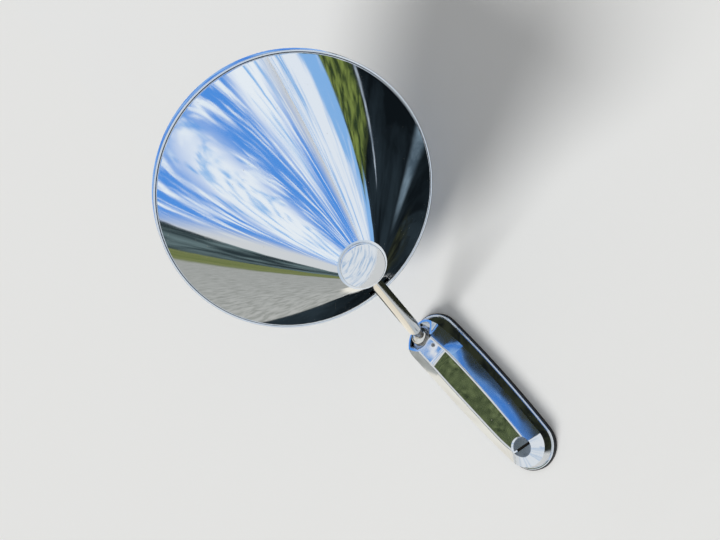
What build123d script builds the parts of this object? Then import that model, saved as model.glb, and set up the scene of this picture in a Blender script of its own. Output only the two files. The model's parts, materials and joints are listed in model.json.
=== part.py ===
from build123d import *
from math import cos, radians, sin, sqrt, tan
import os

# Round door mirror: a conical head on a ball-jointed arm, on a long foot.
# Millimetres. The underside of the gasket is the plane Z = 0, which lies on the
# door; Z stands off the door, X runs along the foot towards its screwed front end.

# Foot: plan, then side profile
foot_rear_radius = 11.8
foot_front_radius = 10.6
foot_side_radius = 520.0
foot_rear_x = -28.8
foot_front_x = 32.1
foot_flange = 0.9
foot_flange_step = 0.5
foot_draft = 11.0
foot_block_top = 18.0
foot_shoulder_width = 4.6
foot_shoulder_drop = 4.0
foot_shoulder_round = 1.8
foot_width_limit = 26.0
upward = 0.9
flange_round = 0.35
gasket_thickness = 1.3
gasket_margin = 0.4
top_front_z = 11.4
ridge_x = -18.0
ridge_z = 12.4
facet_slope = 10.0
ridge_round = 35.0
mouth_x = -27.4
mouth_rim = 1.0
mouth_depth = 3.0
mouth_points = 24

# Fastenings of the foot
collar_reach = 0.6
screw_x = 32.8
screw_radius = 2.0
screw_collar_radius = 2.5
screw_clearance = 0.2
screw_head_radius = 4.0
screw_sink_radius = 4.6
screw_reach = 16.0
driver_slot = 1.1
driver_slot_turn = 78.0
stud_x = -8.0
stud_radius = 2.5
stud_collar_radius = 3.0
stud_reach = 18.0
stud_hold = 6.0
stud_chamfer = 0.6
grub_x = -24.4
grub_y = 2.6
grub_radius = 1.0
grub_key_radius = 0.6
grub_key_depth = 1.2
grub_length = 3.5
grub_sunk = 0.3

# Lower ball joint
foot_ball_x = -32.2
foot_ball_z = 11.2
foot_ball_radius = 4.0
ball_gap = 0.15
cup_outer = 5.5
cup_side = 5.05
cup_rim = 0.3
cup_lean = 29.0
pocket_radius = 5.8

# Arm, measured from the centre of its lower ball
arm_reach = 113.5
arm_back_lean = -1.24
arm_side_lean = 24.62
arm_neck_radius = 2.0
arm_neck_end = 11.5
arm_shoulder = 13.0
arm_foot_radius = 2.9
arm_nose_radius = 2.2
spigot_radius = 1.75
spigot_gap = 0.05
spigot_depth = 2.0
spigot_relief = 0.5
arm_end_gap = 0.3

# Head; t is the distance along its axis from the rim that frames the glass
head_azimuth = 19.05
head_elevation = 36.72
nose_ball_radius = 5.0
nose_ball_flat = 4.5
nose_ball_t = 86.0
head_radius = 57.5
sheet = 0.9
skirt_round = 6.0
bezel_length = 8.0
bezel_inner_radius = 53.5
bezel_round = 0.7
glass_thickness = 2.0
glass_gap = 0.3
board_thickness = 1.5
nose_t = 106.0
nose_radius = 8.2
nose_bore = 2.6
cap_radius = 7.4
cap_edge = 1.4
cap_crown = 2.8
cap_stem_radius = 2.5
cap_stem_end = 92.0
socket_radius = 8.0
socket_rear = 82.0
socket_chamfer = 0.8
socket_slot_reach = 14.0
tilt_up = 4.0
tilt_down = 14.0
slot_width = 8.6
slot_clearance = 1.5
socket_slot_gap = 0.6
socket_slot_overrun = 1.0


def unit(azimuth, elevation):
    """Direction from its angle round Z and its angle above the XY plane, in degrees."""
    flat = cos(radians(elevation))
    return Vector(flat * cos(radians(azimuth)), flat * sin(radians(azimuth)), sin(radians(elevation)))


def turned_plane(origin, radial, axis):
    """Plane for a turned profile: local x is the radius, local y runs along the axis."""
    return Plane(origin=origin, x_dir=radial, z_dir=radial.cross(axis))


# Places and directions that the moving pieces share
foot_ball = Vector(foot_ball_x, 0, foot_ball_z)
cup_axis = unit(180, 90 - cup_lean)
arm_axis = Vector(-tan(radians(arm_back_lean)), tan(radians(arm_side_lean)), 1).normalized()
nose_ball = foot_ball + arm_axis * arm_reach
head_axis = unit(head_azimuth, head_elevation)
rim_centre = nose_ball - head_axis * nose_ball_t
head_side = head_axis.cross(arm_axis).normalized()
head_down = head_axis.cross(head_side).normalized()
arm_angle = head_axis.get_angle(arm_axis)

head_profile = turned_plane(rim_centre, head_down, head_axis)
arm_profile = turned_plane(foot_ball, head_side, arm_axis)
cup_profile = turned_plane(foot_ball, Vector(0, 1, 0), cup_axis)
head_turn = Axis(rim_centre, head_axis)
arm_turn = Axis(foot_ball, arm_axis)
cup_turn = Axis(foot_ball, cup_axis)

# Side profile of the foot: a long top, then a steeper facet up to the socket's mouth
rear_end = foot_rear_x - foot_rear_radius
front_end = foot_front_x + foot_front_radius
top_slope = (ridge_z - top_front_z) / (screw_x - ridge_x)
facet_rise = tan(radians(facet_slope))
mouth_z = ridge_z + facet_rise * (ridge_x - mouth_x)
mouth_plane = Plane(origin=(mouth_x, 0, mouth_z), x_dir=(0, 1, 0), z_dir=cup_axis)
grub_plane = Plane(
    origin=(grub_x, grub_y, ridge_z + facet_rise * (ridge_x - grub_x)),
    z_dir=(sin(radians(facet_slope)), 0, cos(radians(facet_slope))),
)

# The sides of the plan are arcs that touch both end rounds from outside
rear_lever = foot_side_radius - foot_rear_radius
front_lever = foot_side_radius - foot_front_radius
span = foot_front_x - foot_rear_x
side_centre_x = (rear_lever**2 - front_lever**2 + span**2) / (2 * span)
side_centre_y = sqrt(rear_lever**2 - side_centre_x**2)


def foot_plan(inset):
    """Plan of the foot as a face: two end rounds joined by sides that bulge a little."""
    rear_reach = (foot_rear_radius - inset) / rear_lever
    front_reach = (foot_front_radius - inset) / front_lever
    rear = (foot_rear_x - side_centre_x * rear_reach, -side_centre_y * rear_reach)
    front = (foot_front_x + (span - side_centre_x) * front_reach, -side_centre_y * front_reach)
    middle = (foot_rear_x + side_centre_x, side_centre_y - foot_side_radius + inset)
    arcs = (
        ((rear[0], -rear[1]), (rear_end + inset, 0), rear),
        (rear, middle, front),
        (front, (front_end - inset, 0), (front[0], -front[1])),
        ((front[0], -front[1]), (middle[0], -middle[1]), (rear[0], -rear[1])),
    )
    make_face([Edge.make_three_point_arc(*points) for points in arcs])


# Foot: drafted block cut by its side profile, then bevelled and softened all round the top
with BuildPart() as foot:
    with BuildSketch(Plane.XY.offset(gasket_thickness)):
        foot_plan(foot_flange_step)
    extrude(amount=foot_block_top - gasket_thickness, taper=foot_draft)
    with BuildSketch(Plane.XZ):
        with BuildLine() as side:
            Polyline(
                (rear_end, 0),
                (front_end, 0),
                (front_end, ridge_z - top_slope * (front_end - ridge_x)),
                (ridge_x, ridge_z),
                (rear_end, ridge_z + facet_rise * (ridge_x - rear_end)),
                close=True,
            )
            fillet(side.vertices().sort_by_distance(Vector(ridge_x, 0, ridge_z))[0], ridge_round)
        make_face()
    extrude(amount=foot_width_limit / 2, both=True, mode=Mode.INTERSECT)
    top = foot.faces().filter_by(lambda face: face.normal_at().Z > upward)
    chamfer(top.edges().filter_by(Axis.Y, reverse=True), foot_shoulder_drop, foot_shoulder_width)
    top = foot.faces().filter_by(lambda face: face.normal_at().Z > upward)
    fillet(top.edges().filter_by(Axis.Y, reverse=True), foot_shoulder_round)
    # Mouth of the socket: an even rim, a recess inside it, then the round pocket of the cup
    split(bisect_by=mouth_plane, keep=Keep.BOTTOM)
    mouth = foot.faces().filter_by(lambda face: face.normal_at().dot(cup_axis) > upward).sort_by(Axis.X)[0]
    rim_line = mouth.outer_wire().offset_2d(-mouth_rim)
    with BuildSketch(mouth_plane):
        with BuildLine():
            Spline(
                [mouth_plane.to_local_coords(rim_line @ (i / mouth_points)) for i in range(mouth_points)],
                periodic=True,
            )
        make_face()
    extrude(amount=-mouth_depth, mode=Mode.SUBTRACT)
    with Locations(foot_ball):
        Sphere(pocket_radius, mode=Mode.SUBTRACT)
    # Flange round the base, with a soft upper edge
    with BuildSketch(Plane.XY.offset(gasket_thickness)):
        foot_plan(0)
    extrude(amount=foot_flange)
    flange_top = foot.faces().filter_by(Plane.XY).sort_by(Axis.Z)[-1]
    fillet(flange_top.outer_wire().edges(), flange_round)
    # Holes for the screws and the stud
    with BuildSketch(grub_plane.offset(-grub_length)):
        Circle(grub_radius)
    extrude(amount=2 * grub_length, mode=Mode.SUBTRACT)
    with Locations((screw_x, 0, top_front_z)):
        CounterSinkHole(screw_collar_radius + screw_clearance, screw_sink_radius)
    with BuildSketch(Plane.XY.offset(gasket_thickness)):
        with Locations((stud_x, 0)):
            Circle(stud_collar_radius)
    extrude(amount=stud_hold, mode=Mode.SUBTRACT)

with BuildPart() as foot_gasket:
    with BuildSketch():
        foot_plan(-gasket_margin)
        for x, radius in ((screw_x, screw_collar_radius), (stud_x, stud_collar_radius)):
            with Locations((x, 0)):
                Circle(radius + screw_clearance, mode=Mode.SUBTRACT)
    extrude(amount=gasket_thickness)

# Countersunk slotted screw through the front of the foot; its thread starts below the collar
screw_top = top_front_z - screw_sink_radius + screw_head_radius
with BuildPart() as front_screw:
    with BuildSketch(Plane.XZ):
        with BuildLine():
            Polyline(
                (0, -screw_reach),
                (screw_radius, -screw_reach),
                (screw_radius, -collar_reach),
                (screw_collar_radius, -collar_reach),
                (screw_collar_radius, screw_top - screw_head_radius + screw_collar_radius),
                (screw_head_radius, screw_top),
                (0, screw_top),
                close=True,
            )
        make_face()
    revolve(axis=Axis.Z)
    with BuildSketch(Plane.XY.offset(screw_top)):
        Rectangle(3 * screw_head_radius, driver_slot, rotation=driver_slot_turn)
    extrude(amount=-driver_slot, mode=Mode.SUBTRACT)
front_screw.part = Pos(screw_x, 0, 0) * front_screw.part

with BuildPart() as rear_stud:
    with Locations((stud_x, 0, -stud_reach)):
        Cylinder(stud_radius, stud_reach, align=(Align.CENTER, Align.CENTER, Align.MIN))
    chamfer(rear_stud.edges().sort_by(Axis.Z)[0], stud_chamfer)
    with Locations((stud_x, 0, -collar_reach)):
        Cylinder(
            stud_collar_radius,
            collar_reach + gasket_thickness + stud_hold,
            align=(Align.CENTER, Align.CENTER, Align.MIN),
        )

with BuildPart() as grub_screw:
    with BuildSketch(grub_plane.offset(-grub_length)):
        Circle(grub_radius)
    extrude(amount=grub_length - grub_sunk)
    with BuildSketch(grub_plane.offset(-grub_sunk)):
        RegularPolygon(grub_key_radius, 6)
    extrude(amount=-grub_key_depth, mode=Mode.SUBTRACT)

# Cup that carries the lower ball; the foot's pocket is concentric with it
cup_inner = foot_ball_radius + ball_gap
cup_lip = sqrt(cup_inner**2 - cup_rim**2)
cup_flank = -sqrt(cup_outer**2 - cup_side**2)
with BuildPart() as lower_cup:
    with BuildSketch(cup_profile):
        with BuildLine():
            RadiusArc((0, -cup_outer), (cup_side, cup_flank), -cup_outer)
            Line((cup_side, cup_flank), (cup_side, -cup_rim))
            Line((cup_side, -cup_rim), (cup_lip, -cup_rim))
            RadiusArc((cup_lip, -cup_rim), (0, -cup_inner), cup_inner)
            Line((0, -cup_inner), (0, -cup_outer))
        make_face()
    revolve(axis=cup_turn)

# Arm: ball, neck, shoulder and a slow taper up to the spigot that carries the nose ball
neck_start = sqrt(foot_ball_radius**2 - arm_neck_radius**2)
arm_end = arm_reach - nose_ball_flat - arm_end_gap
with BuildPart() as arm:
    with BuildSketch(arm_profile):
        with BuildLine():
            RadiusArc((0, -foot_ball_radius), (foot_ball_radius, 0), -foot_ball_radius)
            RadiusArc((foot_ball_radius, 0), (arm_neck_radius, neck_start), -foot_ball_radius)
            Polyline(
                (arm_neck_radius, neck_start),
                (arm_neck_radius, arm_neck_end),
                (arm_foot_radius, arm_shoulder),
                (arm_nose_radius, arm_end),
                (spigot_radius, arm_end),
                (spigot_radius, arm_reach + spigot_depth),
                (0, arm_reach + spigot_depth),
                (0, -foot_ball_radius),
            )
        make_face()
    revolve(axis=arm_turn)

nose_ball_plane = Plane(origin=nose_ball, z_dir=-arm_axis)
with BuildPart() as nose_pivot:
    with Locations(nose_ball):
        Sphere(nose_ball_radius)
    with BuildSketch(nose_ball_plane.offset(nose_ball_flat)):
        Circle(nose_ball_radius)
    extrude(amount=nose_ball_radius, mode=Mode.SUBTRACT)
    with BuildSketch(nose_ball_plane.offset(-spigot_depth - spigot_relief)):
        Circle(spigot_radius + spigot_gap)
    extrude(amount=2 * nose_ball_radius, mode=Mode.SUBTRACT)

# Shell: one spun sheet, a short skirt and a straight cone, shelled from behind
skirt_radius = head_radius - sheet
cone_slope = (skirt_radius - nose_radius) / (nose_t - bezel_length)
cone_line = Vector(head_down * cone_slope - head_axis).normalized()
rim_plane = Plane(origin=rim_centre, z_dir=head_axis)


def slot_place(angle, reach):
    """Distance down the cone from its nose edge to where the arm leaves it, plus the reach of its edge.

    The angle is the one between arm and head axis, in degrees; the reach is 1 for the far edge, -1 for
    the near one.
    """
    steepness = sin(radians(angle)) - cone_slope * cos(radians(angle))
    travel = (nose_radius + cone_slope * (nose_t - nose_ball_t)) / steepness
    down = (nose_t - nose_ball_t + travel * cos(radians(angle))) * sqrt(1 + cone_slope**2)
    cut = arm_foot_radius * sqrt(1 + cone_slope**2) / steepness
    return down + reach * (cut + slot_clearance)


slot_near = slot_place(arm_angle + tilt_down, -1)
slot_far = slot_place(arm_angle - tilt_up, 1)
with BuildPart() as shell:
    with BuildSketch(head_profile):
        with BuildLine():
            Polyline(
                (0, sheet + glass_thickness + board_thickness),
                (skirt_radius, sheet + glass_thickness + board_thickness),
                (skirt_radius, bezel_length),
                (nose_radius, nose_t),
                (0, nose_t),
                close=True,
            )
        make_face()
    revolve(axis=head_turn)
    fillet(shell.edges().filter_by(GeomType.CIRCLE).sort_by(head_turn)[1], skirt_round)
    offset(amount=-sheet, openings=shell.faces().sort_by(head_turn)[0])
    with BuildSketch(rim_plane.offset(nose_t)):
        Circle(nose_bore)
    extrude(amount=-2 * sheet, mode=Mode.SUBTRACT)
    # Slot for the arm, along the lowest line of the cone
    nose_edge = rim_centre + head_axis * nose_t + head_down * nose_radius
    slot_middle = nose_edge + cone_line * ((slot_near + slot_far) / 2)
    with BuildSketch(Plane(origin=slot_middle, x_dir=cone_line, z_dir=head_side.cross(cone_line))):
        SlotOverall(slot_far - slot_near, slot_width)
    extrude(amount=slot_width / 2, both=True, mode=Mode.SUBTRACT)

# Socket round the nose ball, with a slot that lets the arm swing as the head tilts
socket_inner = nose_ball_radius + ball_gap
socket_front = nose_t - sheet
socket_mouth = (sqrt(socket_inner**2 - (nose_ball_t - socket_rear) ** 2), socket_rear)
socket_throat = (nose_bore, nose_ball_t + sqrt(socket_inner**2 - nose_bore**2))
with BuildPart() as ball_socket:
    with BuildSketch(head_profile):
        with BuildLine():
            Polyline(
                socket_mouth,
                (socket_radius, socket_rear),
                (socket_radius, socket_front - 2 * socket_chamfer),
                (socket_radius - socket_chamfer, socket_front),
                (nose_bore, socket_front),
                socket_throat,
            )
            ThreePointArc(socket_throat, (socket_inner, nose_ball_t), socket_mouth)
        make_face()
    revolve(axis=head_turn)
    with BuildSketch(head_profile):
        with Locations((0, nose_ball_t)):
            Circle(arm_nose_radius + socket_slot_gap)
        for angle in (arm_angle - tilt_up - socket_slot_overrun, arm_angle + tilt_down + socket_slot_overrun):
            sideways = socket_slot_reach * sin(radians(angle))
            rearward = socket_slot_reach * cos(radians(angle))
            with Locations((sideways, nose_ball_t - rearward)):
                Circle(arm_nose_radius + socket_slot_gap)
        make_hull()
    extrude(amount=arm_nose_radius + socket_slot_gap, both=True, mode=Mode.SUBTRACT)

cap_rise = cap_crown - cap_edge
cap_dome_radius = (cap_radius**2 + cap_rise**2) / (2 * cap_rise)
with BuildPart() as nose_cap:
    with BuildSketch(head_profile):
        with BuildLine():
            Polyline(
                (0, nose_t + cap_crown),
                (0, cap_stem_end),
                (cap_stem_radius, cap_stem_end),
                (cap_stem_radius, nose_t),
                (cap_radius, nose_t),
                (cap_radius, nose_t + cap_edge),
            )
            RadiusArc((cap_radius, nose_t + cap_edge), (0, nose_t + cap_crown), -cap_dome_radius)
        make_face()
    revolve(axis=head_turn)

with BuildPart() as bezel:
    with BuildSketch(head_profile):
        with BuildLine():
            Polyline(
                (bezel_inner_radius, 0),
                (head_radius, 0),
                (head_radius, bezel_length),
                (skirt_radius, bezel_length),
                (skirt_radius, sheet),
                (bezel_inner_radius, sheet),
                close=True,
            )
        make_face()
    revolve(axis=head_turn)
    fillet(bezel.edges().filter_by(GeomType.CIRCLE).sort_by(SortBy.RADIUS)[-2:], bezel_round)

with BuildPart() as mirror_glass:
    with BuildSketch(rim_plane.offset(sheet)):
        Circle(skirt_radius - glass_gap)
    extrude(amount=glass_thickness)

with BuildPart() as backing_board:
    with BuildSketch(rim_plane.offset(sheet + glass_thickness)):
        Circle(skirt_radius - glass_gap)
    extrude(amount=board_thickness)

pieces = {
    "foot": foot,
    "foot_gasket": foot_gasket,
    "front_screw": front_screw,
    "rear_stud": rear_stud,
    "grub_screw": grub_screw,
    "lower_cup": lower_cup,
    "arm": arm,
    "nose_ball": nose_pivot,
    "shell": shell,
    "ball_socket": ball_socket,
    "nose_cap": nose_cap,
    "bezel": bezel,
    "mirror_glass": mirror_glass,
    "backing_board": backing_board,
}

os.makedirs("parts", exist_ok=True)
for name, piece in pieces.items():
    piece.part.label = name
    export_step(piece.part, f"parts/{name}.step")
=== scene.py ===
"""Looks of a round door mirror with a conical chrome head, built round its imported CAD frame.

Everything is in metres, in the frame of the CAD: Z stands off the face that the mirror is
screwed to, X runs along the foot to its screwed front end. The sizes in the classes are in
millimetres.
"""

import json
import logging
import math
from dataclasses import dataclass
from enum import Enum

import bmesh
import bpy
from mathutils import Matrix, Vector


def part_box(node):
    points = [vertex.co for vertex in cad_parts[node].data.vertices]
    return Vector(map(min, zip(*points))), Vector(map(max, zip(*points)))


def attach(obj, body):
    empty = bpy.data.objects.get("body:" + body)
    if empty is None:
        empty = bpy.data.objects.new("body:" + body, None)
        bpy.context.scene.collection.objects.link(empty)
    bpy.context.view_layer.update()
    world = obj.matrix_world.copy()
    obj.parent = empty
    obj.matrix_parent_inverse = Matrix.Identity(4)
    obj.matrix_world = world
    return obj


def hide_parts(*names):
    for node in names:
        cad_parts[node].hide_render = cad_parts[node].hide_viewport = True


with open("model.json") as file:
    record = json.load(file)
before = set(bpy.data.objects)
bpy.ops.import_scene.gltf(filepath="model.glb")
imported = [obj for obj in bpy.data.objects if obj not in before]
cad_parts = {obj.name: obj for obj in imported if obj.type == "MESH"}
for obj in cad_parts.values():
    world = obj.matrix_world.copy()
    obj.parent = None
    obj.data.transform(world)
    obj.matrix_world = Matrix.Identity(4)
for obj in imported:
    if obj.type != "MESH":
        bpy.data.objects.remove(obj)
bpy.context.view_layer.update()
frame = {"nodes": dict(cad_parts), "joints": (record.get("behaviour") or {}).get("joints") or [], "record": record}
MM = 0.001
TINY = 1e-6
CREASE = 32.0  # edges bent by more degrees than this stay crisp
EDGE_SHARE = 0.48  # most of an edge that the rounding of one of its corners may take
log = logging.getLogger("door_mirror")
Colour = tuple[float, float, float, float]


def srgb(code: str) -> Colour:
    """Turns a colour code into linear light.

    Args:
        code: The colour as "#RRGGBB", as it looks on a screen.

    Returns:
        Red, green, blue and a full alpha, linear.
    """
    shares = [int(code[i : i + 2], 16) / 255 for i in (1, 3, 5)]
    linear = [s / 12.92 if s <= 0.04045 else ((s + 0.055) / 1.055) ** 2.4 for s in shares]
    return (linear[0], linear[1], linear[2], 1.0)


def add(
    tree: bpy.types.NodeTree,
    kind: str,
    settings: dict[str | int, object] | None = None,
    links: dict[str | int, bpy.types.NodeSocket] | None = None,
) -> bpy.types.Node:
    """Adds one shader node with its settings and links.

    Args:
        tree: The tree that gets the node.
        kind: Blender's name of the node without its "ShaderNode".
        settings: Values of its properties, or of its inputs by name or number.
        links: Output sockets of other nodes, by the input that they go into.

    Returns:
        The new node.
    """
    node = tree.nodes.new("ShaderNode" + kind)
    for key, value in (settings or {}).items():
        if isinstance(key, int) or key in node.inputs:
            node.inputs[key].default_value = value
        else:
            setattr(node, key, value)
    for key, socket in (links or {}).items():
        tree.links.new(socket, node.inputs[key])
    return node


def per_mm(size: float) -> float:
    """Scale of a texture node whose features are that many millimetres apart."""
    return 1.0 / (size * MM)


@dataclass(frozen=True)
class Finish:
    """A finish: the real material and how its surface was made."""

    title: str

    def material(self) -> bpy.types.Material:
        """Makes the material once, and gives the same one afterwards.

        Returns:
            The material.
        """
        made = bpy.data.materials.get(self.title)
        if made is None:
            made = bpy.data.materials.new(self.title)
            made.use_nodes = True
            made.node_tree.nodes.clear()
            shader = add(made.node_tree, "BsdfPrincipled")
            add(made.node_tree, "OutputMaterial", links={"Surface": shader.outputs["BSDF"]})
            self.fill(made.node_tree, shader)
        return made

    def fill(self, tree: bpy.types.NodeTree, shader: bpy.types.Node) -> None:
        """Adds the nodes of this finish to the material's tree, round its surface shader."""
        raise NotImplementedError


@dataclass(frozen=True)
class ChromePlate(Finish):
    """Decorative chromium over nickel, buffed: cool grey-white, as clear as a mirror.

    Buffing leaves slow waves that bend a reflected line a little, and outdoor dust lies on it
    as a thin film with single grains.
    """

    plate: str = "#DDE0E3"
    dust: str = "#A9A498"
    clear: float = 0.025
    filmed: float = 0.07
    film_mm: float = 16.0
    wave_mm: float = 11.0
    wave_height_mm: float = 0.006
    grain_mm: float = 2.3
    grain_share: float = 0.075
    grain_metallic: float = 0.2
    grain_rough: float = 0.5

    def fill(self, tree: bpy.types.NodeTree, shader: bpy.types.Node) -> None:
        """Adds the film of dust, its grains and the waves of buffing.

        Args:
            tree: The material's nodes.
            shader: Its surface shader.
        """
        place = add(tree, "TexCoord").outputs["Object"]
        film = add(
            tree,
            "TexNoise",
            {"Scale": per_mm(self.film_mm), "Detail": 5.0, "Roughness": 0.6},
            {"Vector": place},
        )
        haze = add(
            tree,
            "MapRange",
            {"From Min": 0.38, "From Max": 0.72, "To Min": self.clear, "To Max": self.filmed},
            {"Value": film.outputs["Fac"]},
        )
        # Grains of dust are 0.1 mm in reality and drawn up to 0.35 mm across, so that they show
        cells = add(tree, "TexVoronoi", {"Scale": per_mm(self.grain_mm)}, {"Vector": place})
        chance = add(tree, "SeparateColor", links={"Color": cells.outputs["Color"]})
        reach = add(
            tree,
            "MapRange",
            {"From Min": 0.45, "From Max": 1.0, "To Min": 0.0, "To Max": self.grain_share},
            {"Value": chance.outputs["Red"]},
        )
        grain = add(
            tree,
            "Math",
            {"operation": "LESS_THAN"},
            {0: cells.outputs["Distance"], 1: reach.outputs["Result"]},
        )
        colour = add(
            tree,
            "Mix",
            {"data_type": "RGBA", 6: srgb(self.plate), 7: srgb(self.dust)},
            {0: grain.outputs["Value"]},
        )
        metal = add(
            tree,
            "Math",
            {"operation": "MULTIPLY_ADD", 1: self.grain_metallic - 1.0, 2: 1.0},
            {0: grain.outputs["Value"]},
        )
        rough = add(
            tree,
            "Math",
            {"operation": "MULTIPLY_ADD", 1: self.grain_rough},
            {0: grain.outputs["Value"], 2: haze.outputs["Result"]},
        )
        waves = add(
            tree, "TexNoise", {"Scale": per_mm(self.wave_mm), "Detail": 1.0}, {"Vector": place}
        )
        bump = add(
            tree,
            "Bump",
            {"Distance": self.wave_height_mm * MM, "Strength": 1.0},
            {"Height": waves.outputs["Fac"]},
        )
        tree.links.new(colour.outputs[2], shader.inputs["Base Color"])
        tree.links.new(metal.outputs["Value"], shader.inputs["Metallic"])
        tree.links.new(rough.outputs["Value"], shader.inputs["Roughness"])
        tree.links.new(bump.outputs["Normal"], shader.inputs["Normal"])


@dataclass(frozen=True)
class TurnedSteel(Finish):
    """Plated steel, turned on a lathe: dull grey with fine rings and a trace of grime.

    Faces that a mesh marks with its shade attribute get painted shade: dark, matt and not metal.
    """

    bright: str = "#B9BABA"
    grime: str = "#857E75"
    # Colour of the painted shade on marked faces
    slot_shade: str = "#1E1B18"
    grime_mm: float = 5.0
    ring_mm: float = 0.35
    ring_height_mm: float = 0.0015
    smooth: float = 0.16
    scuffed: float = 0.34

    def fill(self, tree: bpy.types.NodeTree, shader: bpy.types.Node) -> None:
        """Adds grime, painted shade on marked faces and the marks of the tool.

        Args:
            tree: The material's nodes.
            shader: Its surface shader.
        """
        place = add(tree, "TexCoord").outputs["Object"]
        patches = add(
            tree,
            "TexNoise",
            {"Scale": per_mm(self.grime_mm), "Detail": 6.0, "Roughness": 0.65},
            {"Vector": place},
        )
        worn = add(
            tree,
            "MapRange",
            {"From Min": 0.45, "From Max": 0.75},
            {"Value": patches.outputs["Fac"]},
        )
        colour = add(
            tree,
            "Mix",
            {"data_type": "RGBA", 6: srgb(self.bright), 7: srgb(self.grime)},
            {0: worn.outputs["Result"]},
        )
        rough = add(
            tree,
            "MapRange",
            {"To Min": self.smooth, "To Max": self.scuffed},
            {"Value": patches.outputs["Fac"]},
        )
        # Painted shade: marked faces turn dark and matt, as a recess in shade looks
        painted_shade = add(tree, "Attribute", {"attribute_name": "painted_shade"}).outputs["Fac"]
        shaded = add(
            tree,
            "Mix",
            {"data_type": "RGBA", 7: srgb(self.slot_shade)},
            {0: painted_shade, 6: colour.outputs[2]},
        )
        metal = add(tree, "Math", {"operation": "SUBTRACT", 0: 1.0}, {1: painted_shade})
        matt = add(tree, "Math", {"operation": "MAXIMUM"}, {0: rough.outputs["Result"], 1: painted_shade})
        # Feed marks are 0.1 mm apart in reality and drawn coarser, so that they show
        rings = add(
            tree, "TexNoise", {"Scale": per_mm(self.ring_mm), "Detail": 2.0}, {"Vector": place}
        )
        bump = add(
            tree,
            "Bump",
            {"Distance": self.ring_height_mm * MM, "Strength": 1.0},
            {"Height": rings.outputs["Fac"]},
        )
        tree.links.new(shaded.outputs[2], shader.inputs["Base Color"])
        tree.links.new(metal.outputs["Value"], shader.inputs["Metallic"])
        tree.links.new(matt.outputs["Value"], shader.inputs["Roughness"])
        tree.links.new(bump.outputs["Normal"], shader.inputs["Normal"])


@dataclass(frozen=True)
class MouldedRubber(Finish):
    """Black rubber, moulded: soft sheen, a fine grain and a bloom of road dust."""

    black: str = "#1B1B1C"
    bloom: str = "#3A3835"
    bloom_mm: float = 6.0
    grain_mm: float = 0.4
    grain_height_mm: float = 0.02
    smooth: float = 0.5
    dusty: float = 0.75

    def fill(self, tree: bpy.types.NodeTree, shader: bpy.types.Node) -> None:
        """Adds the bloom and the moulded grain.

        Args:
            tree: The material's nodes.
            shader: Its surface shader.
        """
        place = add(tree, "TexCoord").outputs["Object"]
        bloom = add(
            tree, "TexNoise", {"Scale": per_mm(self.bloom_mm), "Detail": 5.0}, {"Vector": place}
        )
        colour = add(
            tree,
            "Mix",
            {"data_type": "RGBA", 6: srgb(self.black), 7: srgb(self.bloom)},
            {0: bloom.outputs["Fac"]},
        )
        rough = add(
            tree,
            "MapRange",
            {"To Min": self.smooth, "To Max": self.dusty},
            {"Value": bloom.outputs["Fac"]},
        )
        grain = add(tree, "TexNoise", {"Scale": per_mm(self.grain_mm)}, {"Vector": place})
        bump = add(
            tree,
            "Bump",
            {"Distance": self.grain_height_mm * MM},
            {"Height": grain.outputs["Fac"]},
        )
        tree.links.new(colour.outputs[2], shader.inputs["Base Color"])
        tree.links.new(rough.outputs["Result"], shader.inputs["Roughness"])
        tree.links.new(bump.outputs["Normal"], shader.inputs["Normal"])


@dataclass(frozen=True)
class SilveredGlass(Finish):
    """Flat glass silvered on its back: a clear, faintly green reflection under a glossy face."""

    silver: str = "#E4EAE8"
    smear_mm: float = 22.0
    wiped: float = 0.005
    smeared: float = 0.05

    def fill(self, tree: bpy.types.NodeTree, shader: bpy.types.Node) -> None:
        """Adds the smears of a wiped glass.

        Args:
            tree: The material's nodes.
            shader: Its surface shader.
        """
        place = add(tree, "TexCoord").outputs["Object"]
        smears = add(
            tree,
            "TexNoise",
            {"Scale": per_mm(self.smear_mm), "Detail": 7.0, "Distortion": 1.5},
            {"Vector": place},
        )
        rough = add(
            tree,
            "MapRange",
            {"From Min": 0.4, "From Max": 0.8, "To Min": self.wiped, "To Max": self.smeared},
            {"Value": smears.outputs["Fac"]},
        )
        shader.inputs["Base Color"].default_value = srgb(self.silver)
        shader.inputs["Metallic"].default_value = 1.0
        shader.inputs["Coat Weight"].default_value = 1.0
        shader.inputs["Coat Roughness"].default_value = 0.01
        shader.inputs["Coat IOR"].default_value = 1.52
        tree.links.new(rough.outputs["Result"], shader.inputs["Roughness"])


@dataclass(frozen=True)
class FibreBoard(Finish):
    """Pressed black fibre board: matt, with short fibres."""

    board: str = "#35322E"
    fibre: str = "#4C4842"
    fibre_mm: float = 0.9
    fibre_height_mm: float = 0.05

    def fill(self, tree: bpy.types.NodeTree, shader: bpy.types.Node) -> None:
        """Adds the fibres.

        Args:
            tree: The material's nodes.
            shader: Its surface shader.
        """
        place = add(tree, "TexCoord").outputs["Object"]
        fibres = add(
            tree,
            "TexNoise",
            {"Scale": per_mm(self.fibre_mm), "Detail": 4.0, "Distortion": 2.0},
            {"Vector": place},
        )
        colour = add(
            tree,
            "Mix",
            {"data_type": "RGBA", 6: srgb(self.board), 7: srgb(self.fibre)},
            {0: fibres.outputs["Fac"]},
        )
        bump = add(
            tree,
            "Bump",
            {"Distance": self.fibre_height_mm * MM},
            {"Height": fibres.outputs["Fac"]},
        )
        shader.inputs["Roughness"].default_value = 0.85
        tree.links.new(colour.outputs[2], shader.inputs["Base Color"])
        tree.links.new(bump.outputs["Normal"], shader.inputs["Normal"])


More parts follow.
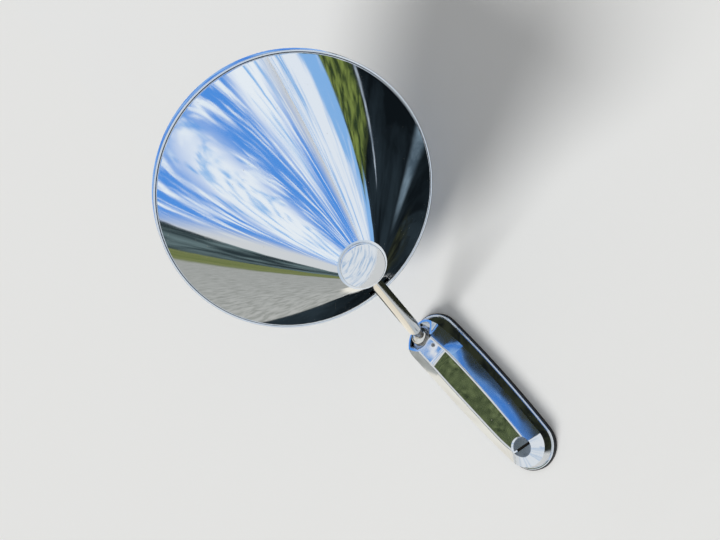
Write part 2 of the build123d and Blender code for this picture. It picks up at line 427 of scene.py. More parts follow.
@dataclass(frozen=True)
class StudioPaper(Finish):
    """Pale background paper of the studio: matt, even and near white."""

    paper: str = "#E3E3E1"

    def fill(self, tree: bpy.types.NodeTree, shader: bpy.types.Node) -> None:
        """Sets the paper's colour.

        Args:
            tree: The material's nodes.
            shader: Its surface shader.
        """
        shader.inputs["Base Color"].default_value = srgb(self.paper)
        shader.inputs["Roughness"].default_value = 0.9
        shader.inputs["Specular IOR Level"].default_value = 0.2


class Trim(Enum):
    """The finishes of this mirror, and the paper that it stands on."""

    SPUN = ChromePlate("chrome_plate_spun")
    # A polished casting is stiffer than sheet: its waves are closer and lower
    CAST = ChromePlate("chrome_plate_cast", wave_mm=7.0, wave_height_mm=0.003)
    # A ground rod is straight and finely scratched: a blurred, slightly warm reflection
    ROD = ChromePlate(
        "chrome_plate_ground_rod", plate="#DCD8D0", clear=0.12, filmed=0.2, wave_height_mm=0.002
    )
    STEEL = TurnedSteel("zinc_plated_steel_turned")
    # Its plate is darker than the other steel and blue-grey: a painted reflection of a blue sky
    SCREW = TurnedSteel("nickel_plated_steel_screw", bright="#8A939E", grime="#5E666F")
    RUBBER = MouldedRubber("rubber_moulded")
    GLASS = SilveredGlass("glass_silvered")
    BOARD = FibreBoard("fibre_board_pressed")
    PAPER = StudioPaper("background_paper")


def dress(node: str, trim: Trim) -> None:
    """Gives a CAD node its finish.

    Args:
        node: The node's name.
        trim: The finish.
    """
    mesh = frame["nodes"][node].data
    made = trim.value.material()
    if mesh.materials:
        for slot in range(len(mesh.materials)):
            mesh.materials[slot] = made
    else:
        mesh.materials.append(made)


@dataclass(frozen=True)
class Corner:
    """A corner of a turned outline: its radius, its place along the axis and its rounding."""

    radius: float
    along: float
    round: float = 0.0


@dataclass(frozen=True)
class Thread:
    """A rolled thread on a turned shank, which starts and runs out softly."""

    start: float
    end: float
    pitch: float
    depth: float
    runout: float = 1.2
    rows_per_turn: int = 10

    def rows(self, radius: float) -> list[Corner]:
        """Outline of the threaded stretch, fine enough to carry the thread.

        Args:
            radius: Radius over the thread's crests.

        Returns:
            Corners from start to end.
        """
        length = self.end - self.start
        count = round(length / self.pitch * self.rows_per_turn)
        return [Corner(radius, self.start + length * i / count) for i in range(count + 1)]

    def cut(self, along: float, turn: float) -> float:
        """How deep the thread's groove is at one place.

        Args:
            along: Place along the axis.
            turn: Place round the axis, in turns.

        Returns:
            The depth below the crests.
        """
        reach = min(along - self.start, self.end - along)
        if reach <= 0:
            return 0.0
        share = min(1.0, reach / self.runout)
        wave = 0.5 - 0.5 * math.cos(2 * math.pi * (along / self.pitch - turn))
        return self.depth * share * wave


def softened(outline: list[Corner], closed: bool, steps: int = 6) -> list[tuple[float, float]]:
    """Rounds the corners of an outline.

    Args:
        outline: The corners in order.
        closed: Whether the last corner joins the first.
        steps: How many straight runs a rounded corner gets.

    Returns:
        Radius and place along the axis of each point.
    """
    count = len(outline)
    line: list[tuple[float, float]] = []
    for i, here in enumerate(outline):
        at = Vector((here.radius, here.along))
        inside = closed or 0 < i < count - 1
        if not inside or here.round <= 0:
            line.append((at.x, at.y))
            continue
        before, after = outline[i - 1], outline[(i + 1) % count]
        back = Vector((before.radius, before.along)) - at
        on = Vector((after.radius, after.along)) - at
        wanted = here.round / math.tan(back.angle(on) / 2)
        reach = min(wanted, EDGE_SHARE * back.length, EDGE_SHARE * on.length)
        first, last = at + back.normalized() * reach, at + on.normalized() * reach
        for step in range(steps + 1):
            share = step / steps
            point = first.lerp(at, share).lerp(at.lerp(last, share), share)
            line.append((point.x, point.y))
    return line


@dataclass(frozen=True)
class Lathe:
    """Turns outlines about one axis; the origin is where their places along it count from."""

    origin: Vector
    axis: Vector
    segments: int = 96

    def turn(
        self, title: str, outline: list[Corner], closed: bool = False, thread: Thread | None = None
    ) -> bpy.types.Object:
        """Makes a turned piece with smooth faces and crisp edges.

        Args:
            title: The piece's name.
            outline: Corners from one end of the axis to the other, or round a ring.
            closed: Whether the outline is that of a ring.
            thread: A thread cut into it.

        Returns:
            The piece, in place.
        """
        across = self.axis.orthogonal().normalized()
        beside = self.axis.cross(across)
        shape = bmesh.new()
        rings = []
        for radius, along in softened(outline, closed):
            middle = self.origin + self.axis * (along * MM)
            if radius < TINY:
                rings.append([shape.verts.new(middle)] * self.segments)
                continue
            ring = []
            for i in range(self.segments):
                turn = i / self.segments
                reach = (radius - (thread.cut(along, turn) if thread else 0.0)) * MM
                angle = 2 * math.pi * turn
                out = across * math.cos(angle) + beside * math.sin(angle)
                ring.append(shape.verts.new(middle + out * reach))
            rings.append(ring)
        pairs = list(zip(rings, rings[1:])) + ([(rings[-1], rings[0])] if closed else [])
        for low, high in pairs:
            for i in range(self.segments):
                j = (i + 1) % self.segments
                corners = [low[i], low[j], high[j], high[i]]
                shape.faces.new(list(dict.fromkeys(corners)))
        bmesh.ops.recalc_face_normals(shape, faces=shape.faces)
        return piece_of(title, shape)


def piece_of(title: str, shape: bmesh.types.BMesh) -> bpy.types.Object:
    """Turns a finished shape into an object with smooth faces and crisp edges.

    Args:
        title: The object's name.
        shape: The shape, which is used up.

    Returns:
        The object.
    """
    mesh = bpy.data.meshes.new(title)
    shape.to_mesh(mesh)
    shape.free()
    mesh.shade_smooth()
    mesh.set_sharp_from_angle(angle=math.radians(CREASE))
    piece = bpy.data.objects.new(title, mesh)
    bpy.context.scene.collection.objects.link(piece)
    return piece


def saw(piece: bpy.types.Object, middle: Vector, turn: float, size: Vector) -> None:
    """Saws a straight slot into a piece.

    Args:
        piece: The piece.
        middle: The slot's middle.
        turn: How far the slot is turned about Z, in degrees.
        size: Its length, width and depth in metres.
    """
    blade = bmesh.new()
    bmesh.ops.create_cube(blade, size=1.0)
    place = Matrix.Translation(middle) @ Matrix.Rotation(math.radians(turn), 4, "Z")
    bmesh.ops.transform(blade, matrix=place @ Matrix.Diagonal(size).to_4x4(), verts=blade.verts)
    cutter = piece_of("saw_blade", blade)
    cut = piece.modifiers.new("slot", "BOOLEAN")
    cut.operation = "DIFFERENCE"
    cut.solver = "EXACT"
    cut.object = cutter
    whole = piece.data
    seen = piece.evaluated_get(bpy.context.evaluated_depsgraph_get())
    piece.data = bpy.data.meshes.new_from_object(seen)
    piece.modifiers.clear()
    piece.data.name = piece.name
    piece.data.shade_smooth()
    piece.data.set_sharp_from_angle(angle=math.radians(CREASE))
    bpy.data.meshes.remove(whole)
    bpy.data.meshes.remove(cutter.data)


def stand_for(piece: bpy.types.Object, node: str, trim: Trim) -> None:
    """Lets a piece take a CAD node's place: its body and a finish.

    Args:
        piece: The piece, in place.
        node: The CAD node that it replaces.
        trim: Its finish.
    """
    record = frame["record"]
    body = next(name for name, nodes in record["behaviour"]["bodies"].items() if node in nodes)
    piece.data.materials.clear()
    piece.data.materials.append(trim.value.material())
    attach(piece, body)
    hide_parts(node)


def middle_of(node: str) -> Vector:
    """Middle of a CAD node's box."""
    low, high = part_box(node)
    return (low + high) / 2


def joint(name: str) -> tuple[Vector, Vector]:
    """Place and direction of a joint's axis."""
    found = next(j for j in frame["joints"] if j["name"] == name)
    return Vector(found["pos_m"]), Vector(found["axis"]).normalized()


@dataclass
class DoorFoot:
    """The screwed foot: casting, rubber pad, slotted front screw, hidden stud and locking screw.

    Places along screw and stud count from the mounting face, outwards.
    """

    segments: int = 64
    screw_tip: float = -16.0
    screw_radius: float = 2.0
    screw_pitch: float = 0.7
    collar_radius: float = 2.5
    collar_start: float = -0.6
    head_start: float = 9.3
    head_radius: float = 4.0
    head_top: float = 10.8
    slot_width: float = 1.1
    slot_turn: float = 78.0
    stud_tip: float = -18.0
    stud_radius: float = 2.5
    stud_pitch: float = 0.8
    stud_collar_radius: float = 3.0
    stud_top: float = 7.3
    lead: float = 0.5
    thread_share: float = 0.6
    tip_round: float = 0.15
    collar_round: float = 0.1
    neck_round: float = 0.3
    head_edge: float = 0.25
    head_edge_round: float = 0.12
    head_face_round: float = 0.2
    # How far past the driver slot the painted shade reaches
    shade_margin: float = 0.01

    def front_screw(self) -> bpy.types.Object:
        """Makes the countersunk screw with its thread and driver slot.

        Returns:
            The screw.
        """
        middle = middle_of("front_screw")
        middle.z = 0.0
        thread = Thread(
            self.screw_tip + self.lead,
            self.collar_start,
            self.screw_pitch,
            self.screw_pitch * self.thread_share,
        )
        outline = [
            Corner(0.0, self.screw_tip),
            Corner(self.screw_radius - self.lead, self.screw_tip, self.tip_round),
            *thread.rows(self.screw_radius),
            Corner(self.collar_radius, self.collar_start, self.collar_round),
            Corner(self.collar_radius, self.head_start, self.neck_round),
            Corner(self.head_radius, self.head_top - self.head_edge, self.head_edge_round),
            Corner(self.head_radius - self.head_edge, self.head_top, self.head_face_round),
            Corner(0.0, self.head_top),
        ]
        lathe = Lathe(middle, Vector((0, 0, 1)), self.segments)
        screw = lathe.turn("front_screw_slotted", outline, thread=thread)
        top = middle + Vector((0, 0, self.head_top * MM))
        # The blade runs past the head on both sides and is sunk to half its height
        blade = Vector((3 * self.head_radius, self.slot_width, 2 * self.slot_width)) * MM
        saw(screw, top, self.slot_turn, blade)
        # Painted shade in the driver slot
        self.paint_slot_shade(screw, middle)
        stand_for(screw, "front_screw", Trim.SCREW)
        return screw

    def paint_slot_shade(self, screw: bpy.types.Object, middle: Vector) -> None:
        """Marks the driver slot's faces for painted shade, which makes the slot look dark.

        Args:
            screw: The screw with its slot.
            middle: Where its axis meets the mounting face.
        """
        beside = towards(self.slot_turn + 90, 0.0)
        half = (self.slot_width / 2 + self.shade_margin) * MM
        floor = (self.head_top - self.slot_width - self.shade_margin) * MM
        painted_shade = screw.data.attributes.new("painted_shade", "FLOAT", "FACE")
        for face in screw.data.polygons:
            if abs((face.center - middle).dot(beside)) < half and face.center.z > floor:
                painted_shade.data[face.index].value = 1.0

    def rear_stud(self) -> bpy.types.Object:
        """Makes the threaded stud under the foot.

        Returns:
            The stud.
        """
        middle = middle_of("rear_stud")
        middle.z = 0.0
        thread = Thread(
            self.stud_tip + self.lead,
            self.collar_start,
            self.stud_pitch,
            self.stud_pitch * self.thread_share,
        )
        outline = [
            Corner(0.0, self.stud_tip),
            Corner(self.stud_radius - self.lead, self.stud_tip, self.tip_round),
            *thread.rows(self.stud_radius),
            Corner(self.stud_collar_radius, self.collar_start, self.tip_round),
            Corner(self.stud_collar_radius, self.stud_top, self.neck_round),
            Corner(0.0, self.stud_top),
        ]
        lathe = Lathe(middle, Vector((0, 0, 1)), self.segments)
        stud = lathe.turn("rear_stud_threaded", outline, thread=thread)
        stand_for(stud, "rear_stud", Trim.STEEL)
        return stud

    def build(self) -> list[str]:
        """Makes and dresses the foot's pieces.

        Returns:
            The names of the pieces.
        """
        dress("foot", Trim.CAST)
        dress("foot_gasket", Trim.RUBBER)
        dress("grub_screw", Trim.STEEL)
        kept = ["foot", "foot_gasket", "grub_screw"]
        return kept + [self.front_screw().name, self.rear_stud().name]


@dataclass
class SwingArm:
    """The cup in the foot's socket, and the arm that stands in it on its ball.

    Places along the arm count from its ball's middle.
    """

    segments: int = 72
    ball_radius: float = 4.0
    ball_step: float = 6.0
    neck_radius: float = 2.0
    neck_end: float = 11.5
    shoulder: float = 13.0
    foot_radius: float = 2.9
    nose_radius: float = 2.2
    spigot_start: float = 108.7
    spigot_radius: float = 1.75
    spigot_end: float = 115.5
    ball_neck_round: float = 0.6
    neck_round: float = 1.2
    shoulder_round: float = 1.6
    top_round: float = 0.3
    spigot_round: float = 0.1

    def arm(self) -> bpy.types.Object:
        """Makes the arm with soft shoulders.

        Returns:
            The arm.
        """
        foot_ball, _ = joint("cup_swing")
        nose_ball, _ = joint("head_turn")
        axis = (nose_ball - foot_ball).normalized()
        neck_angle = math.degrees(math.acos(self.neck_radius / self.ball_radius))
        count = round((90 + neck_angle) / self.ball_step)
        ball = []
        for i in range(count + 1):
            angle = math.radians(-90 + (90 + neck_angle) * i / count)
            along = self.ball_radius * math.sin(angle)
            ball.append(Corner(self.ball_radius * math.cos(angle), along))
        ball[0] = Corner(0.0, -self.ball_radius)
        ball[-1] = Corner(self.neck_radius, ball[-1].along, self.ball_neck_round)
        outline = ball + [
            Corner(self.neck_radius, self.neck_end, self.neck_round),
            Corner(self.foot_radius, self.shoulder, self.shoulder_round),
            Corner(self.nose_radius, self.spigot_start, self.top_round),
            Corner(self.spigot_radius, self.spigot_start, self.spigot_round),
            Corner(self.spigot_radius, self.spigot_end, self.top_round),
            Corner(0.0, self.spigot_end),
        ]
        arm = Lathe(foot_ball, axis, self.segments).turn("arm_turned", outline)
        stand_for(arm, "arm", Trim.ROD)
        return arm

    def build(self) -> list[str]:
        """Dresses the cup, makes the arm and gives the names of both."""
        dress("lower_cup", Trim.STEEL)
        return ["lower_cup", self.arm().name]


@dataclass
class MirrorHead:
    """The conical head: spun shell, nose cap, rolled bezel, glass, board and upper ball joint.

    Places along the head count from the plane of its rim, towards the nose.
    """

    radius: float = 57.4
    skirt_radius: float = 56.6
    sheet: float = 0.9
    glass: float = 2.0
    bezel_tail: float = 8.0
    lip_radius: float = 53.5
    lip_bead: float = 0.45
    roll: float = 1.7
    nose: float = 106.0
    cap_radius: float = 7.4
    cap_edge: float = 1.4
    cap_crown: float = 2.8
    cap_soft: float = 0.6
    stem_radius: float = 2.5
    stem_end: float = 92.0
    stem_round: float = 0.3
    cap_rim_round: float = 0.25
    dome_rings: int = 7
    cap_segments: int = 96
    lip_edge_round: float = 0.2
    lip_round: float = 0.25
    bead_round: float = 0.6
    tail_round: float = 0.4
    skirt_round: float = 0.3
    bezel_segments: int = 256

    def lathe(self, segments: int) -> Lathe:
        """Finds the head's axis from its upper ball and its glass.

        Args:
            segments: How finely to turn.

        Returns:
            A lathe whose places count from the rim.
        """
        ball, _ = joint("head_turn")
        glass = middle_of("mirror_glass")
        axis = (ball - glass).normalized()
        return Lathe(glass - axis * ((self.sheet + self.glass / 2) * MM), axis, segments)

    def nose_cap(self) -> bpy.types.Object:
        """Makes the domed cap with its screw stem.

        Returns:
            The cap.
        """
        rise = self.cap_crown - self.cap_edge
        dome = (self.cap_radius**2 + rise**2) / (2 * rise)
        top = self.nose + self.cap_crown
        outline = [
            Corner(0.0, self.stem_end),
            Corner(self.stem_radius, self.stem_end, self.stem_round),
            Corner(self.stem_radius, self.nose),
            Corner(self.cap_radius, self.nose, self.cap_rim_round),
            Corner(self.cap_radius, self.nose + self.cap_edge, self.cap_soft),
        ]
        for i in range(self.dome_rings - 1, 0, -1):
            r = self.cap_radius * i / (self.dome_rings + 1)
            outline.append(Corner(r, top - dome + math.sqrt(dome**2 - r**2)))
        outline.append(Corner(0.0, top))
        cap = self.lathe(self.cap_segments).turn("nose_cap_domed", outline)
        stand_for(cap, "nose_cap", Trim.SPUN)
        return cap

    def bezel(self) -> bpy.types.Object:
        """Makes the rolled ring that holds the glass.

        Returns:
            The ring.
        """
        outline = [
            Corner(self.lip_radius, self.sheet, self.lip_edge_round),
            Corner(self.lip_radius, self.lip_bead, self.lip_round),
            Corner(self.lip_radius + 2 * self.lip_bead, 0.0, self.bead_round),
            Corner(self.radius, 0.0, self.roll),
            Corner(self.radius, self.bezel_tail, self.tail_round),
            Corner(self.skirt_radius, self.bezel_tail, self.skirt_round),
            Corner(self.skirt_radius, self.sheet, self.roll - self.sheet),
        ]
        lathe = self.lathe(self.bezel_segments)
        ring = lathe.turn("bezel_rolled", outline, closed=True)
        stand_for(ring, "bezel", Trim.SPUN)
        return ring

    def build(self) -> list[str]:
        """Makes and dresses the head's pieces.

        Returns:
            The names of the pieces.
        """
        dress("shell", Trim.SPUN)
        for node in ("nose_ball", "ball_socket"):
            dress(node, Trim.STEEL)
        dress("mirror_glass", Trim.GLASS)
        dress("backing_board", Trim.BOARD)
        kept = ["shell", "nose_ball", "ball_socket", "mirror_glass", "backing_board"]
        return kept + [self.nose_cap().name, self.bezel().name]


def towards(azimuth: float, elevation: float) -> Vector:
    """Direction from its angle round Z and its angle above the floor, in degrees."""
    a, e = math.radians(azimuth), math.radians(elevation)
    return Vector((math.cos(e) * math.cos(a), math.cos(e) * math.sin(a), math.sin(e)))


@dataclass(frozen=True)
class Mottling:
    """A colour mottled with a second one, where strength 1 is white.

    The mottling has a size in the sheet's own unit, is stretched across by a factor, and goes
    over from the first colour to the second between two levels of its noise.
    """

    colour: str
    mottle: str
    size: float
    stretch: float = 1.0
    low: float = 0.42
    high: float = 0.6
    strength: float = 1.0


class Shade(Enum):
    """What the sheets show; sizes are in degrees for cards and in millimetres for mats."""

    SKY = Mottling("#5497E8", "#F4FBFF", 1.5, 8.0, 0.5, 0.61, 1.15)
    CLOUD = Mottling("#F6FBFF", "#8FC0F2", 1.2, 8.0, 0.5, 0.62, 1.15)
    LOW_SKY = Mottling("#8DBEF2", "#F2F8FF", 150.0, 1.5, 0.4, 0.52, 1.1)
    BLUE = Mottling("#4686DC", "#A5CDF8", 0.3, 60.0, 0.46, 0.62)
    RIM_BLUE = Mottling("#4A8BE6", "#9CC6F6", 60.0)
    FACET = Mottling("#FFFFFF", "#5FA2EA", 0.9, 1.6, 0.47, 0.54)
    BRIGHT = Mottling("#F6FAFE", "#A4C4E6", 4.0, 8.0, 0.48, 0.66)
    HILLS = Mottling("#313E42", "#728688", 2.6, 2.5)
    LEAVES = Mottling("#1E2B1F", "#8E9C6C", 0.3, 2.2, 0.42, 0.66)
    HEDGE = Mottling("#33422A", "#86964E", 12.0)
    VERGE = Mottling("#8C9160", "#6C7A48", 60.0, 6.0)
    GRAVEL = Mottling("#BFC0BC", "#A2A49F", 7.0)
    CREAM = Mottling("#F5F1E6", "#E8E2D6", 20.0, 1.0, 0.4, 0.7, 1.12)
    CLOTH = Mottling("#11171B", "#2A353C", 60.0)
    OLIVE = Mottling("#2B2F22", "#43452F", 9.0, 3.0)
    WALL = Mottling("#33372A", "#181C1B", 10.0)
    STREAK = Mottling("#7F93A1", "#4C5C68", 30.0)
    LINE = Mottling("#C3CEDA", "#8795A3", 12.0)


@dataclass(frozen=True)
class Reflector:
    """A soft-edged studio sheet that shows in polished metal alone.

    Its fades are the shares of its width and height over which its edges grow clear.
    """

    title: str
    shade: Shade
    fades: tuple[float, float] = (0.2, 0.2)

    def size(self) -> tuple[float, float]:
        """Its width and height, in its own unit."""
        raise NotImplementedError

    def point(self, across: float, up: float, middle: Vector) -> Vector:
        """The point at these shares of its width and height, round the mirror's middle."""
        raise NotImplementedError

    def build(self, middle: Vector, columns: int = 24, rows: int = 12) -> bpy.types.Object:
        """Makes the sheet.

        Args:
            middle: The middle of the mirror.
            columns: How many faces it has across.
            rows: How many it has up.

        Returns:
            The sheet, hidden from the camera, from diffuse light, from shadows and from volume scatter.
        """
        shares = [(i / columns, j / rows) for j in range(rows + 1) for i in range(columns + 1)]
        faces = []
        for j in range(rows):
            for i in range(columns):
                k = j * (columns + 1) + i
                faces.append((k, k + 1, k + columns + 2, k + columns + 1))
        mesh = bpy.data.meshes.new(self.title)
        mesh.from_pydata([self.point(a, u, middle) for a, u in shares], [], faces)
        places = mesh.uv_layers.new(name="sheet")
        for loop in mesh.loops:
            places.data[loop.index].uv = shares[loop.vertex_index]
        sheet = bpy.data.objects.new(self.title, mesh)
        bpy.context.scene.collection.objects.link(sheet)
        mesh.materials.append(self.material())
        sheet.visible_camera = False
        sheet.visible_diffuse = False
        sheet.visible_shadow = False
        sheet.visible_volume_scatter = False
        return sheet

    def material(self) -> bpy.types.Material:
        """Makes the sheet's mottled glow, clear towards its edges.

        Returns:
            The material.
        """
        made = bpy.data.materials.new(self.title)
        made.use_nodes = True
        tree = made.node_tree
        tree.nodes.clear()
        spot = add(tree, "TexCoord")
        place = add(tree, "SeparateXYZ", links={0: spot.outputs["UV"]})
        mask = None
        for axis, fade in zip(("X", "Y"), self.fades):
            for start, end in ((0.0, fade), (1.0, 1.0 - fade)):
                side = add(
                    tree,
                    "MapRange",
                    {"interpolation_type": "SMOOTHSTEP", "From Min": start, "From Max": end},
                    {"Value": place.outputs[axis]},
                ).outputs["Result"]
                if mask is not None:
                    both = add(tree, "Math", {"operation": "MULTIPLY"}, {0: mask, 1: side})
                    side = both.outputs["Value"]
                mask = side
        look = self.shade.value
        width, height = self.size()
        spread = add(
            tree,
            "Mapping",
            {"Scale": (width / (look.size * look.stretch), height / look.size, 1.0)},
            {"Vector": spot.outputs["UV"]},
        )
        cloud = add(
            tree,
            "TexNoise",
            {"Scale": 1.0, "Detail": 6.0, "Roughness": 0.58, "Distortion": 0.4},
            {"Vector": spread.outputs["Vector"]},
        )
        share = add(
            tree,
            "MapRange",
            {"From Min": look.low, "From Max": look.high},
            {"Value": cloud.outputs["Fac"]},
        )
        colour = add(
            tree,
            "Mix",
            {"data_type": "RGBA", 6: srgb(look.colour), 7: srgb(look.mottle)},
            {0: share.outputs["Result"]},
        )
        glow = add(tree, "Emission", {"Strength": look.strength}, {"Color": colour.outputs[2]})
        clear = add(tree, "BsdfTransparent")
        shown = add(
            tree,
            "MixShader",
            links={0: mask, 1: clear.outputs["BSDF"], 2: glow.outputs["Emission"]},
        )
        add(tree, "OutputMaterial", links={"Surface": shown.outputs["Shader"]})
        return made


@dataclass(frozen=True)
class Card(Reflector):
    """A sheet bent round the mirror.

    Its angles are in degrees as seen from the mirror's middle, its distance is in metres.
    """

    azimuth: float = 0.0
    elevation: float = 0.0
    width: float = 30.0
    height: float = 30.0
    slant: float = 0.0
    bow: float = 0.0
    distance: float = 3.0

    def size(self) -> tuple[float, float]:
        """Its width and height in degrees."""
        return self.width, self.height

    def point(self, across: float, up: float, middle: Vector) -> Vector:
        """Where a place on the card is.

        Args:
            across: Share of its width.
            up: Share of its height.
            middle: The middle of the mirror.

        Returns:
            The point.
        """
        azimuth = self.azimuth + self.width * (across - 0.5)
        level = self.elevation + self.slant * (across - 0.5) - self.bow * (across - 0.5) ** 2
        elevation = level + self.height * (up - 0.5)
        return middle + towards(azimuth, elevation) * self.distance


@dataclass(frozen=True)
class Mat(Reflector):
    """A sheet that lies just over the floor; its sides are in millimetres, askew by a slope."""

    x: tuple[float, float] = (0.0, 1.0)
    y: tuple[float, float] = (0.0, 1.0)
    skew: float = 0.0
    height: float = 0.2

    def size(self) -> tuple[float, float]:
        """Its sides in millimetres."""
        return self.x[1] - self.x[0], self.y[1] - self.y[0]

    def point(self, across: float, up: float, middle: Vector) -> Vector:
        """Where a place on the mat is.

        Args:
            across: Share of its width.
            up: Share of its height.
            middle: The middle of the mirror, which a mat doesn't need.

        Returns:
            The point.
        """
        x = self.x[0] + (self.x[1] - self.x[0]) * across
        y = self.y[0] + (self.y[1] - self.y[0]) * up + self.skew * (x - self.x[1])
        return Vector((x, y, self.height)) * MM


@dataclass
class Studio:
    """Pale floor, plain soft light, sheets for the chrome to reflect, and the camera.

    The sheets' middle is in millimetres, the floor and the camera's place are in metres. The
    camera's aim is off its forward direction by two tangents, which puts the mirror in the
    middle of the picture.
    """

    floor_radius: float = 6.0
    floor_sides: int = 96
    backdrop: str = "#E9EBEC"
    fill_light: str = "#FFFFFF"
    key_azimuth: float = -68.0
    key_elevation: float = 48.0
    key_width: float = 26.0
    key_share: float = 0.58
    sky_share: float = 0.42
    middle: tuple[float, float, float] = (-45.0, 10.0, 70.0)
    eye: tuple[float, float, float] = (0.13009, 0.17084, 0.39728)
    right: tuple[float, float, float] = (0.5838, 0.5434, -0.6033)
    forward: tuple[float, float, float] = (-0.5069, -0.3366, -0.7936)
    aim_right: float = 22 / 520
    aim_down: float = 35 / 520
    lens: float = 52.0
    sensor: float = 36.0
    nearest: float = 0.01

    def build(self) -> None:
        """Sets up everything round the mirror."""
        self.view()
        self.floor()
        self.backdrop_and_fill()
        self.key()
        for sheet in self.sheets():
            sheet.build(Vector(self.middle) * MM)
        self.camera()

    def view(self) -> None:
        """Colours come out as they are written."""
        bpy.context.scene.view_settings.view_transform = "Standard"

    def floor(self) -> None:
        """A wide pale floor in the plane of the mounting face."""
        mesh = bpy.data.meshes.new("floor")
        rim = []
        for i in range(self.floor_sides):
            angle = 2 * math.pi * i / self.floor_sides
            rim.append(Vector((math.cos(angle), math.sin(angle), 0)) * self.floor_radius)
        mesh.from_pydata(rim, [], [tuple(range(self.floor_sides))])
        floor = bpy.data.objects.new("floor", mesh)
        bpy.context.scene.collection.objects.link(floor)
        mesh.materials.append(Trim.PAPER.value.material())

    def backdrop_and_fill(self) -> None:
        """Even light from all round; camera, metal and glass see a pale backdrop."""
        world = bpy.data.worlds.new("studio")
        bpy.context.scene.world = world
        world.use_nodes = True
        tree = world.node_tree
        tree.nodes.clear()
        path = add(tree, "LightPath")
        seen = path.outputs["Is Camera Ray"]
        for ray in ("Is Glossy Ray", "Is Transmission Ray"):
            seen = add(
                tree, "Math", {"operation": "MAXIMUM"}, {0: seen, 1: path.outputs[ray]}
            ).outputs["Value"]
        fill = srgb(self.fill_light)
        light = add(tree, "Background", {"Color": fill, "Strength": self.sky_share})
        shown = add(tree, "Background", {"Color": srgb(self.backdrop), "Strength": 1.0})
        both = add(
            tree,
            "MixShader",
            links={0: seen, 1: light.outputs["Background"], 2: shown.outputs["Background"]},
        )
        add(tree, "OutputWorld", links={"Surface": both.outputs["Shader"]})

    def key(self) -> None:
        """One wide soft lamp that gives the mirror its shadow on the floor."""
        lamp = bpy.data.lights.new("key", "SUN")
        lamp.angle = math.radians(self.key_width)
        lamp.energy = math.pi * self.key_share / math.sin(math.radians(self.key_elevation))
        key = bpy.data.objects.new("key", lamp)
        bpy.context.scene.collection.objects.link(key)
        out = towards(self.key_azimuth, self.key_elevation)
        turn = out.to_track_quat("Z", "Y").to_matrix().to_4x4()
        key.matrix_world = Matrix.Translation(out) @ turn
        key.visible_glossy = False

    def sheets(self) -> list[Reflector]:
        """The sheets that shape the chrome's reflections.

        Returns:
            Cards that hang round the mirror, then mats that lie on the floor.
        """
        return [
            Card(
                "sky_gel", Shade.SKY, (0.06, 0.14),
                azimuth=163, elevation=29, width=152, height=62,
            ),
            Card(
                "cloud_high", Shade.CLOUD, (0.3, 0.3),
                azimuth=-150, elevation=33, width=74, height=22, distance=2.95,
            ),
            Card(
                "cloud_right", Shade.CLOUD, (0.35, 0.35),
                azimuth=152, elevation=8, width=20, height=28, distance=2.95,
            ),
            Card(
                "front_gel", Shade.BRIGHT, (0.1, 0.15),
                azimuth=5, elevation=36, width=190, height=84,
            ),
            Card(
                "olive_gel", Shade.OLIVE, (0.1, 0.05),
                azimuth=109, elevation=30, width=44, height=30, distance=2.9,
            ),
            Card(
                "blue_gel", Shade.BLUE, (0.1, 0.006),
                azimuth=109, elevation=55.61, width=44, height=36,
                slant=-9.7, bow=6.0, distance=2.8,
            ),
            Card(
                "facet_gel", Shade.FACET, (0.2, 0.2),
                azimuth=-93, elevation=69, width=26, height=12, distance=2.9,
            ),
            Card(
                "top_flag", Shade.LEAVES, (0.05, 0.12),
                azimuth=-122, elevation=61, width=28, height=13, distance=2.8,
            ),
            Card(
                "horizon_card", Shade.HILLS, (0.1, 0.06),
                azimuth=-117, elevation=3.4, width=50, height=11, distance=2.8,
            ),
            Mat("ground", Shade.GRAVEL, (0.004, 0.001), x=(-3000, 0), y=(-4000, -54), height=0.1),
            Mat("verge", Shade.VERGE, (0.02, 0.06), x=(-3000, -30), y=(-4000, -720), height=0.2),
            Mat("low_sky", Shade.LOW_SKY, (0.02, 0.002), x=(-2500, 100), y=(186, 3000), height=0.1),
            Mat("cream_mat", Shade.CREAM, (0.04, 0.08), x=(-50, 90), y=(-125, -8), height=0.15),
            Mat(
                "rim_gel", Shade.RIM_BLUE, (0.03, 0.03),
                x=(-460, -168), y=(-130, 110), height=0.12,
            ),
            Mat("side_cloth", Shade.CLOTH, (0.02, 0.02), x=(-172, 90), y=(4, 192), height=0.15),
            Mat("wall_cloth", Shade.WALL, (0.1, 0.1), x=(-60, 90), y=(4, 60), height=0.2),
            Mat(
                "left_cloth", Shade.CLOTH, (0.03, 0.03),
                x=(-172, -47), y=(-52, 60), skew=0.85, height=0.2,
            ),
            Mat("hedge", Shade.HEDGE, (0.1, 0.1), x=(-330, -112), y=(146, 218), height=0.2),
            Mat("streak", Shade.STREAK, (0.3, 0.4), x=(-125, -38), y=(68, 84), height=0.25),
            Mat("light_line", Shade.LINE, (0.15, 0.3), x=(-176, -80), y=(142, 147), height=0.25),
        ]

    def camera(self) -> None:
        """Stands where the photograph was taken from, and frames the mirror closely."""
        right = Vector(self.right)
        forward = Vector(self.forward)
        down = forward.cross(right).normalized()
        aim = (forward + right * self.aim_right + down * self.aim_down).normalized()
        side = (right - aim * right.dot(aim)).normalized()
        camera = bpy.data.objects.new("camera", bpy.data.cameras.new("camera"))
        bpy.context.scene.collection.objects.link(camera)
        camera.data.lens = self.lens
        camera.data.sensor_width = self.sensor
        camera.data.clip_start = self.nearest
        turn = Matrix((side, side.cross(aim), -aim)).transposed().to_4x4()
        camera.matrix_world = Matrix.Translation(self.eye) @ turn
        bpy.context.scene.camera = camera


def main() -> None:
    """Builds the mirror and the studio round it."""
    logging.basicConfig(level=logging.INFO, format="%(message)s")
    for assembly in (DoorFoot(), SwingArm(), MirrorHead()):
        for piece in assembly.build():
            log.info("%s: %s", type(assembly).__name__, piece)
    Studio().build()


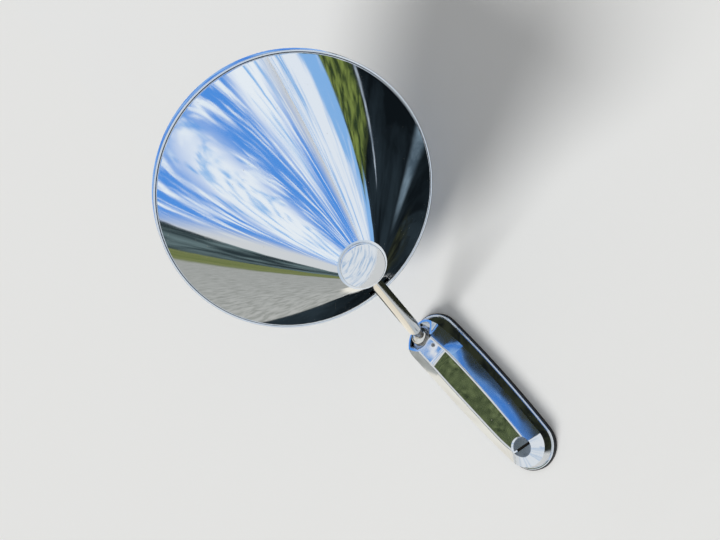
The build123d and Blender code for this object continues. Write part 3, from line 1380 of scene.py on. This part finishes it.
if __name__ == "__main__":
    main()
